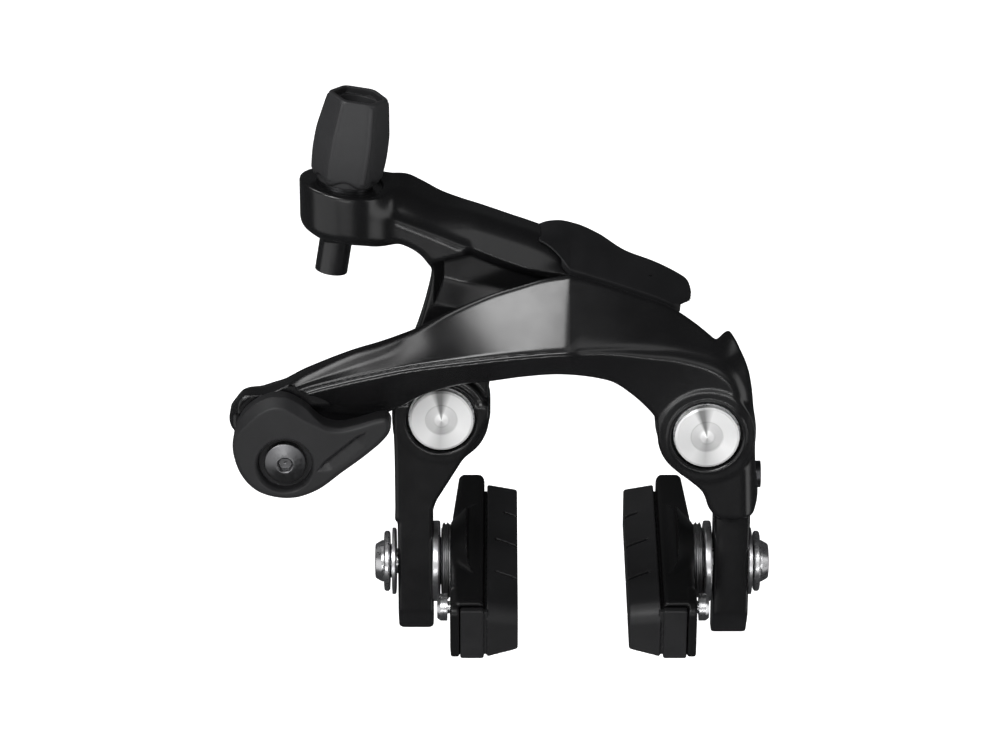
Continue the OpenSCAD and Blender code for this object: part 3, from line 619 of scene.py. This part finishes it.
def left_arm(x, y, z):
    u, v, w = adjuster(x, y, z)
    # upper beam with its slanting facet
    slope = 0.23 * step01((-22.0 - x) / 11.0)
    top = BEAM_TOP(x, z) + slope * (-4.6 - y) * 0.9
    c, t = -BEAM_LOW(x, z), -FACET_TOP(x, z)
    yf = smax(-16.6 + 2.6 * c / np.maximum(c + t, 0.8), -16.6 - 1.3 * c, 0.9)
    beam = smax(smax(top, (yf - y) * 0.88, 3.4), y + 4.0, 0.8)
    beam = smax(beam, -c - 2.3, 0.8)
    beam = smax(beam, -54.0 - x, 1.0)
    beam = smax(beam, (z - cover_top(x, y) + 0.8) * 0.85 - 40.0 * np.clip((-7.6 - x) / 0.6, 0.0, 1.0), 0.3)
    beam = smax(beam, x - 23.4, 0.8)
    # post with its sunk panel
    sink = smin(smin(0.58 * (z - LEDGE(x) + 5.4), 1.5 * (x + 32.5), 0.5), 3.1, 0.5)
    front = -15.4 + hinge(sink, 0.3)
    post = smax(smax(POST(x, z), (front - y) * 0.9, 1.0), y + 6.45, 0.7)
    neck = prism(NECK(x, z), y, -17.4, -5.4, 1.4)
    d = smin(post, beam, 0.9)
    d = smin(d, neck, 2.2)
    # boss of the adjuster: upright sides, leaning ends
    boss = smax(np.sqrt((x + 53.0) ** 2 + v ** 2) - 10.5, w, 0.9)
    boss = smax(boss, -12.0 - w, 3.0)
    d = smin(d, boss, 3.4)
    # leg and pivot
    leg = prism(left_leg(x, z), y, -17.8, -7.2, 1.0)
    leg = smax(leg, (-17.8 + 0.85 * (-50.0 - z) - y) * 0.76, 0.5)
    d = smin(d, leg, 1.2)
    d = smin(d, prism(rod(x, z, 11.2, -PX, 0.0), y, -17.2, -6.45, 0.9), 1.0)
    d = smin(d, prism(rod(x, z, 6.9, -PX, 0.0), y, -8.0, -4.0, 0.2), 0.3)
    # fork for the roller
    plate = rod(x, z, 3.3, 0.0, 29.0)
    neck2 = np.maximum(np.maximum(np.abs(x) - 4.4, 29.0 - z), z - 36.0 + 0.3 * np.abs(x))
    fork = smin(plate, neck2, 0.8)
    d = smin(d, np.minimum(prism(fork, y, -18.7, -16.6, 0.3), prism(fork, y, -9.2, -7.2, 0.3)), 0.2)
    d = smin(d, np.sqrt((x + 36.3) ** 2 + (z + 16.6) ** 2 + np.maximum(np.maximum(-8.0 - y, y + 4.9), 0.0) ** 2) - 1.2, 0.2)
    # seats, bores and holes
    d = smax(d, -prism(rod(x, z, 8.3, -PX, 0.0), y, -60.0, -15.6, 0.01), 0.35)
    d = smin(d, np.sqrt(rod(x, z, 9.0, -PX, 0.0) ** 2 + (y + 17.3) ** 2) - 0.42, 0.25)
    d = np.maximum(d, -rod(x, z, 6.0, -PX, 0.0))
    bore = np.sqrt(u ** 2 + v ** 2)
    d = np.maximum(d, -np.maximum(bore - 3.84, -30.0 - w))
    d = smax(d, -np.maximum(bore - 8.8, -0.02 - w), 0.05)
    d = smax(d, -np.maximum(slot_hole(y, z), np.abs(x + 38.0) - 6.5), 0.3)
    d = np.maximum(d, -np.maximum(rod(x, z, 4.5, 0.0, 29.0), np.abs(y + 12.9) - 3.7))
    d = np.maximum(d, -np.maximum(rod(x, z, 1.51, 0.0, 29.0), y + 5.0))
    for px, zs, h in ((7.0, 28.0, 7.2), (17.0, 24.0, 6.8)):
        r = np.sqrt((x - px) ** 2 + (y + 10.0) ** 2)
        d = np.maximum(d, -np.maximum(r - 1.3, np.maximum(zs - z, z - zs - 16.0)))
        d = np.maximum(d, -np.maximum(r - 2.3, np.abs(z - (zs - 3.0 + h / 2)) - h / 2))
    return d


piece("look_rear_arm", left_arm, (-65.5, -24.0, -58.4), (26.5, -3.0, 60.5), 0.42, "gloss_black", "left_arm", "gloss_black", ["left_arm"])


def cover(x, y, z):
    top = cover_top(x, y)
    lip = step01((-15.9 - y) / 0.35)
    under_z = np.minimum(COVER_UNDER(x), top - 0.75)
    under_z = under_z * (1 - lip) + (COVER_FRONT(x) - 2.3) * lip
    d = smax((z - top) * 0.85, (under_z - z) * 0.9, 0.35)
    d = smax(d, (COVER_NOSE(x) - y) * 0.8, 0.35)
    d = smax(d, y + 3.0, 0.9)
    d = smax(d, -8.2 - x, 0.25)
    d = smax(d, (x - COVER_END(y)) * 0.9, 1.2)
    for px, zs in ((7.0, 28.0), (17.0, 24.0)):
        d = np.maximum(d, -np.maximum(np.sqrt((x - px) ** 2 + (y + 10.0) ** 2) - 1.26, z - zs - 9.85))
    return d


COVER_END = Curve1([(-18, 23.6), (-17.4, 24.1), (-14.5, 26.2), (-11, 27.8), (-7, 28.3), (-4, 27.6), (-3, 26.8)])
COVER_UNDER = Curve1([(-12, 45.6), (-8.2, 44.2), (-1, 41.2), (4, 38.7), (11.5, 35.0), (19, 31.7), (24.6, 29.3), (26.2, 29.6), (28.6, 31.6)])
piece("look_cover", cover, (-9.5, -18.6, 24.0), (29.5, -2.4, 46.4), 0.3, "matte_black", "left_arm", "matte_black", ["link_cover"])

# ------------------------------------------------------------------ quick-release lever
LEVER = Flat([(-79.2, -0.6), (-78.7, -4), (-77.0, -8.2), (-73.8, -11.6), (-69.6, -13.2), (-64.6, -13.3), (-60.4, -11.8), (-53.7, -6.8),
              (-47.4, -1.8), (-44.5, 0.9), (-42.8, 3.2), (-42.4, 5.2), (-43.3, 6.8), (-45.2, 6.7), (-47.7, 6.0), (-51, 5.0), (-54.3, 4.4),
              (-57.6, 5.0), (-60, 6.8), (-61.7, 8.6), (-64.1, 10.3), (-66.5, 11.5), (-68.6, 11.7), (-72.7, 10.5), (-76.1, 7.9),
              (-78.4, 3.9)], (-84.0, -18.0), (-38.0, 16.0), h=0.3, step=0.25)


def lever(x, y, z):
    o = LEVER(x, z)
    d = prism(o, y, -33.4, -27.6, 0.35)
    up = step01((z - 2.0) / 5.0) * step01((-58.0 - x) / 6.0)
    c = 1.0 + 1.3 * up
    d = smax(d, (o + (-33.4 - y) + c) * 0.7071, 0.22)
    # gently crowned face
    d = smax(d, (-33.55 + 0.0016 * ((x + 66.0) ** 2 * 0.35 + (z + 0.8) ** 2) - y) * 0.98, 0.4)
    # thumb groove towards the tail: a steep wall above, a gentle one below
    ax, az, bx, bz = -59.4, -6.0, -48.2, 3.4
    length = math.hypot(bx - ax, bz - az)
    ex, ez = (bx - ax) / length, (bz - az) / length
    along = (x - ax) * ex + (z - az) * ez
    across = -(x - ax) * ez + (z - az) * ex        # positive towards the upper left
    fade = 1.0 - step01((along + 1.5) / 4.5) * step01((length + 1.5 - along) / 4.5)
    deep = np.maximum(across * 1.5, -across * 0.62) + 1.6 * fade
    d = smax(d, -((y + 32.0 + deep) * 0.75), 0.22)
    d = smin(d, prism(rod(x, z, 7.96, QX, QZ), y, -28.0, -18.0, 0.25), 0.2)
    d = smax(d, -prism(rod(x, z, 6.3, BX, BZ), y, -60.0, -30.2, 0.01), 0.35)
    d = smax(d, -np.maximum(rod(x, z, 6.9, BX, BZ) + (y + 33.4) * 0.6, y + 32.0), 0.3)
    d = np.maximum(d, -rod(x, z, 2.6, BX, BZ))
    d = np.maximum(d, -np.maximum(7.4 - np.sqrt((x - QX) ** 2 + (z - QZ) ** 2), np.abs(y + 18.75) - 0.3))
    return d


piece("look_lever", lever, (-80.6, -34.6, -14.6), (-41.4, -17.2, 13.2), 0.26, "lever_grey", "qr_lever", "lever_grey", ["qr_lever"])



def anchor_bolt(x, y, z):
    r = np.sqrt((x - BX) ** 2 + (z - BZ) ** 2)
    head = smax(r - 4.9, y + 30.25, 0.2)
    head = smax(head, -32.9 - y, 0.15)
    head = smax(head, (r - 4.9 + (-31.7 - y) * 2.4) * 0.38, 0.25)
    shank = np.maximum(r - 2.5, np.maximum(-31.0 - y, y + 12.6))
    d = np.minimum(head, shank)
    hexa = None
    for k in range(3):
        a = math.radians(60 * k + 30)
        n = np.abs((x - BX) * math.cos(a) + (z - BZ) * math.sin(a)) - 1.5
        hexa = n if hexa is None else np.maximum(hexa, n)
    d = smax(d, -np.maximum(hexa, y + 31.2), 0.12)
    return smax(d, -((r - 1.95) * 0.7071 + (y + 32.9) * 0.7071), 0.1)


piece("look_anchor_bolt", anchor_bolt, (-72.5, -33.4, -10.4), (-61.7, -12.0, 0.6), 0.2, "satin_steel", "qr_lever", "dark_steel", ["cable_anchor_bolt"])

# ------------------------------------------------------------------ adjuster
KNOB = Curve1([(0.6, 6.9), (3, 7.35), (8, 7.65), (12, 7.55), (16, 7.05), (19, 6.6), (21.5, 6.25)])


def knob_local(u, v, w):
    s = KNOB(w)
    hexa = None
    for k in range(6):
        a = math.radians(-90 + 60 * k)
        n = u * math.cos(a) + v * math.sin(a) - s
        hexa = n if hexa is None else smax(hexa, n, 0.9)
    r = np.sqrt(u * u + v * v)
    theta = np.arctan2(v, u) + math.pi / 2
    wave = np.cos(3.0 * theta) ** 2            # 1 at the middle of a flat, 0 at an edge
    body = smax(hexa, r - s * 1.115, 0.5)
    low = 1.0 + 1.2 * wave
    rubber = smax(body, (low - w) * 0.9, 0.7)
    rubber = smax(rubber, w - 21.5, 0.6)
    core = np.maximum(r - 6.7, np.maximum(0.6 - w, w - 6.0))
    for k in range(6):
        a = math.radians(-60 + 60 * k)
        edge = np.sqrt((u - math.cos(a) * (s * 1.115 - 0.42)) ** 2 + (v - math.sin(a) * (s * 1.115 - 0.42)) ** 2) - 0.52
        rubber = smin(rubber, np.maximum(edge, np.maximum(2.4 - w, w - 20.6)), 0.35)
    d = smin(rubber, core, 0.25)
    inner = None
    for k in range(6):
        a = math.radians(-90 + 60 * k)
        n = u * math.cos(a) + v * math.sin(a) - (s - 1.25)
        inner = n if inner is None else smax(inner, n, 0.7)
    d = smax(d, -np.maximum(inner, 19.9 - w), 0.3)
    d = smax(d, -np.maximum(r - 4.75, 12.6 - w), 0.25)
    d = np.maximum(d, 3.84 - r)
    return d


def knob(x, y, z):
    return knob_local(*adjuster(x, y, z))


piece("look_knob", knob, (-62.0, -21.5, 55.0), (-40.5, -2.5, 80.6), 0.24, "knob_rubber", "adjuster_knob", "knob_rubber", ["adjuster_knob"])


# ------------------------------------------------------------------ shoes
FACE, DROP = 13.0, -1.0       # friction face from the middle, and how far the section hangs below the bolt


def holder_shape(side):
    to = shoe(side)

    def f(x, y, z):
        s, l, h = to(x, y, z)
        g = h - DROP
        outer = 27.3 + 0.075 * np.clip(29.5 - l, 0.0, 18.0)
        a = np.maximum(20.8 - s, s - outer) + 1.5
        b = np.abs(g) - 7.3 + 1.5
        section = np.minimum(np.maximum(a, b), 0.0) + np.sqrt(np.maximum(a, 0.0) ** 2 + np.maximum(b, 0.0) ** 2) - 1.5
        plan = box2(s, l, 20.8, 30.0, -27.6, 29.5, 1.9)
        d = smax(section, plan, 0.7)
        # outer wall carried on to the front, round at its foot
        wall = prism(box2(l, g, -30.0, -20.0, -7.3, 7.0, 2.2), s, 26.75, 28.8, 0.5)
        d = smin(d, wall, 0.8)
        # rim and hook where the channel opens
        rim = np.sqrt((l + 27.5) ** 2 + (g - 6.95) ** 2 + np.maximum(np.maximum(22.0 - s, s - 26.6), 0.0) ** 2) - 0.5
        hook = np.sqrt((l + 27.5) ** 2 + (s - 21.4) ** 2 + np.maximum(np.maximum(4.0 - g, g - 6.4), 0.0) ** 2) - 0.5
        d = smin(d, smin(rim, hook, 0.8), 0.5)
        # the swell that carries the ribbed seat
        cone = np.maximum(np.sqrt(l ** 2 + h ** 2) - 8.9 - 1.1 * np.clip(29.0 - s, 0.0, 5.0), np.maximum(s - 29.0, 25.0 - s))
        d = smin(d, cone, 3.0)
        d = np.maximum(d, s - 29.0)
        # channel for the pad, holes for the bolt and the pad screw
        d = np.maximum(d, -box2(s, g, 18.0, 24.65, -4.95, 4.95, 0.3) * 1.0 - 1000.0 * (l > 26.0))
        d = np.maximum(d, -np.maximum(box2(s, g, 18.0, 26.7, -6.5, 6.5, 0.4), l + 27.3))
        d = np.maximum(d, -np.maximum(np.sqrt(l ** 2 + h ** 2) - 3.02, 25.0 - s))
        return np.maximum(d, -np.maximum(np.sqrt((l + 20.0) ** 2 + h ** 2) - 1.52, 24.0 - s))
    return f


def pad_shape(side):
    to = shoe(side)

    def f(x, y, z):
        s, l, h = to(x, y, z)
        g = h - DROP
        half = 6.85 - 1.5 * np.clip((20.4 - s) / 7.4, 0.0, 1.0)
        section = smax(np.abs(g) - half, np.maximum(FACE - s, s - 20.35), 0.6)
        front = -29.5 + 1.3 * (21.4 - s) / 8.4
        # rounded over from the top into the front end
        a, b = g - half + 4.5, front - l + 4.5
        nose = np.sqrt(np.maximum(a, 0.0) ** 2 + np.maximum(b, 0.0) ** 2) + np.minimum(np.maximum(a, b), 0.0) - 4.5
        block = smax(smax(section, nose, 0.3), l - 25.8, 0.8)
        tongue = np.maximum(box2(s, g, 19.5, 24.45, -4.75, 4.75, 0.3), np.maximum(-27.0 - l, l - 25.6))
        d = np.minimum(block, tongue)
        stop = prism(box2(s, g, 21.0, 26.55, -7.2, 6.2, 0.5), l, -29.6, -27.7, 0.4)
        d = np.minimum(d, smax(stop, -(s - 20.9), 0.2))
        d = np.minimum(d, prism(box2(s, g, 20.0, 22.0, -6.3, 5.6, 0.2), l, -29.0, -27.6, 0.2))
        ca, sa = math.cos(math.radians(18)), math.sin(math.radians(18))
        for at, reach in ((-14.7, 6.6), (-0.5, 6.6), (12.7, 4.4)):
            p, q = s - (FACE - 1.0), l - at
            run, off = p * ca + q * sa, -p * sa + q * ca + 0.05 * np.maximum(3.5 - p, 0.0) ** 2
            d = smax(d, -np.maximum(np.abs(off) - 0.42, run - reach), 0.25)
        return d
    return f


def inner_washer_shape(side):
    def f(x, y, z):
        s = x * side
        r = np.sqrt((y - SY) ** 2 + (z - SZ) ** 2)
        rim = prism(r - 9.7, s, 31.55, 33.35, 0.45)
        dome = np.maximum(np.sqrt((s - 37.3) ** 2 + r ** 2) - 8.2, np.maximum(r - 8.0, s - 32.4))
        return np.maximum(np.minimum(rim, dome), 3.6 - r)
    return f


def ribbed_seat_shape(side):
    to = shoe(side)

    def f(x, y, z):
        s, l, h = to(x, y, z)
        r = np.sqrt(l * l + h * h)
        ribs = 9.3 - 0.28 * (1.0 - np.cos((s - 28.85) * 2.0 * math.pi / 0.9))
        d = smax((r - ribs) * 0.6, np.maximum(29.05 - s, s - 31.05), 0.15)
        d = np.minimum(d, prism(r - 8.0, s, 29.5, 31.3, 0.2))
        return np.maximum(d, 3.1 - r)
    return f


for side, name in ((-1, "left"), (1, "right")):
    def span(s0, s1, a, b, side=side):
        xs = sorted((s0 * side, s1 * side))
        return (xs[0], a[0], a[1]), (xs[1], b[0], b[1])

    lo, hi = span(20.0, 29.8, (-44.5, -53.5), (19.5, -25.0))
    piece("look_" + name + "_holder", holder_shape(side), lo, hi, 0.4, "holder_black", name + "_shoe", "holder_black", [name + "_shoe_holder"])
    lo, hi = span(12.3, 27.2, (-44.5, -53.5), (16.5, -26.0))
    piece("look_" + name + "_pad", pad_shape(side), lo, hi, 0.36, "pad_rubber", name + "_pad", "pad_rubber", [name + "_brake_pad"])
    lo, hi = span(28.4, 34.0, (SY - 10.6, SZ - 10.6), (SY + 10.6, SZ + 10.6))
    piece("look_" + name + "_inner_washer", inner_washer_shape(side), lo, hi, 0.24, "washer_steel", name + "_shoe_slide", "turned_silver", [name + "_inner_slot_washer"])
    piece("look_" + name + "_seat", ribbed_seat_shape(side), lo, hi, 0.18, "seat_steel", name + "_shoe_swivel", "dark_steel", [name + "_ribbed_seat"])



# ------------------------------------------------------------------ CAD pieces that are shown as they are
def dress(names, mat, width=0.0, segments=2):
    for n in names:
        ob = NODES[n]
        if ob.hide_render:
            continue
        ob.data.materials.clear()
        ob.data.materials.append(MATERIALS[mat])
        for s in ob.material_slots:
            s.link = "OBJECT"
            s.material = MATERIALS[mat]
        if width:
            m = ob.modifiers.new("edge", "BEVEL")
            m.width = width * MM
            m.segments = segments
            m.limit_method = "ANGLE"
            m.angle_limit = math.radians(35)


dress(["stay_plate"], "plate_black", 0.3)
dress(["left_mounting_bolt", "right_mounting_bolt", "left_pivot_sleeve", "right_pivot_sleeve", "roller_pin", "sync_roller", "qr_retaining_ring",
       "cable_anchor_washer", "cable_anchor_nut", "cover_screws", "thrust_washers"], "steel")
dress(["adjuster_wave_washer"], "dark_steel")
dress(["left_pivot_bushes", "right_pivot_bushes"], "bush_bronze")
dress(["left_return_spring", "right_return_spring"], "spring_steel")
dress(["centering_screw"], "dark_steel", 0.15)
dress(["centering_block"], "nylon", 0.3)
dress(["left_pivot_cap"], "turned_left_painted_shade")
dress(["right_pivot_cap"], "turned_right_painted_shade")
dress(["adjuster_barrel"], "barrel_black", 0.3)
for side in ("left", "right"):
    dress([side + "_shoe_holder"], "holder_black", 0.8, 3)
    dress([side + "_brake_pad"], "pad_rubber", 0.3)
    dress([side + "_inner_slot_washer", side + "_outer_slot_washer"], "washer_steel", 0.15)
    dress([side + "_ribbed_seat"], "seat_steel", 0.15)
    dress([side + "_dished_washer", side + "_shoe_bolt", side + "_pad_screw"], "steel", 0.15)


# ------------------------------------------------------------------ stage, light and camera
CENTRE = np.array([-17.2, -17.0, 11.3])


def stage_plane(name, corners, mat):
    me = bpy.data.meshes.new(name)
    me.from_pydata(corners, [], [tuple(range(len(corners)))])
    me.materials.append(mat)
    ob = bpy.data.objects.new(name, me)
    bpy.context.scene.collection.objects.link(ob)
    ob.visible_glossy = False
    return ob


def pale(nt, b):
    v = coords(nt, (1, 1, 1))
    nt.links.new(ramp(nt, noise(nt, v, 3.0, 1.0), [(0.3, 0.90), (0.7, 0.92)]), b.inputs["Base Color"])
    b.inputs["Roughness"].default_value = 0.9
    b.inputs["Emission Color"].default_value = (1, 1, 1, 1)
    b.inputs["Emission Strength"].default_value = 0.85


paper = material("paper", pale)
floor = stage_plane("floor", [(-6, -3, -0.25), (6, -3, -0.25), (6, 7, -0.25), (-6, 7, -0.25)], paper)
wall = stage_plane("backdrop", [(-8, 7, -0.3), (8, 7, -0.3), (8, 7, 6), (-8, 7, 6)], paper)


def softbox(name, azimuth, elevation, distance, width, height, power):
    """An area light aimed at the object; azimuth 0 is the front, 90 the right."""
    a, e = math.radians(azimuth), math.radians(elevation)
    d = np.array([math.sin(a) * math.cos(e), -math.cos(a) * math.cos(e), math.sin(e)])
    li = bpy.data.lights.new(name, "AREA")
    li.shape = "RECTANGLE"
    li.size, li.size_y = width, height
    li.energy = power
    ob = bpy.data.objects.new(name, li)
    bpy.context.scene.collection.objects.link(ob)
    p = CENTRE * MM + d * distance
    ob.location = p
    up = np.array([0.0, 0.0, 1.0]) if abs(elevation) < 85 else np.array([0.0, 1.0, 0.0])
    zc = d
    xc = np.cross(up, zc)
    xc /= np.linalg.norm(xc)
    yc = np.cross(zc, xc)
    ob.matrix_world = Matrix(((xc[0], yc[0], zc[0], p[0]), (xc[1], yc[1], zc[1], p[1]), (xc[2], yc[2], zc[2], p[2]), (0, 0, 0, 1)))
    return ob


softbox("key_front", -22, 38, 1.6, 1.0, 0.45, 22)
softbox("top_left", -102, 60, 1.6, 0.7, 0.6, 9)
softbox("front_low", 0, -8, 0.9, 0.6, 0.05, 1.5)
softbox("rear_fill", 20, 17, 1.6, 0.9, 0.5, 1.7)
softbox("side_left", -52, -6, 1.6, 1.9, 1.3, 8)
softbox("side_right", 76, -6, 1.6, 0.6, 1.5, 5)


world = bpy.data.worlds.new("studio")
bpy.context.scene.world = world
world.use_nodes = True
world.node_tree.nodes["Background"].inputs["Color"].default_value = (0.9, 0.92, 0.95, 1)
world.node_tree.nodes["Background"].inputs["Strength"].default_value = 0.06

cam = bpy.data.cameras.new("camera")
cam.sensor_width = 36.0
cam.lens = 3843.3 * 36.0 / 1000.0
cam.clip_start, cam.clip_end = 0.05, 60.0
camera = bpy.data.objects.new("camera", cam)
bpy.context.scene.collection.objects.link(camera)
E = math.radians(22.32)
camera.location = (-0.017203, -0.017 - 0.9 * math.cos(E), 0.011277 + 0.9 * math.sin(E))
camera.rotation_euler = (math.radians(90 - 22.32), 0.0, 0.0)
bpy.context.scene.camera = camera
bpy.context.scene.view_settings.view_transform = "Standard"
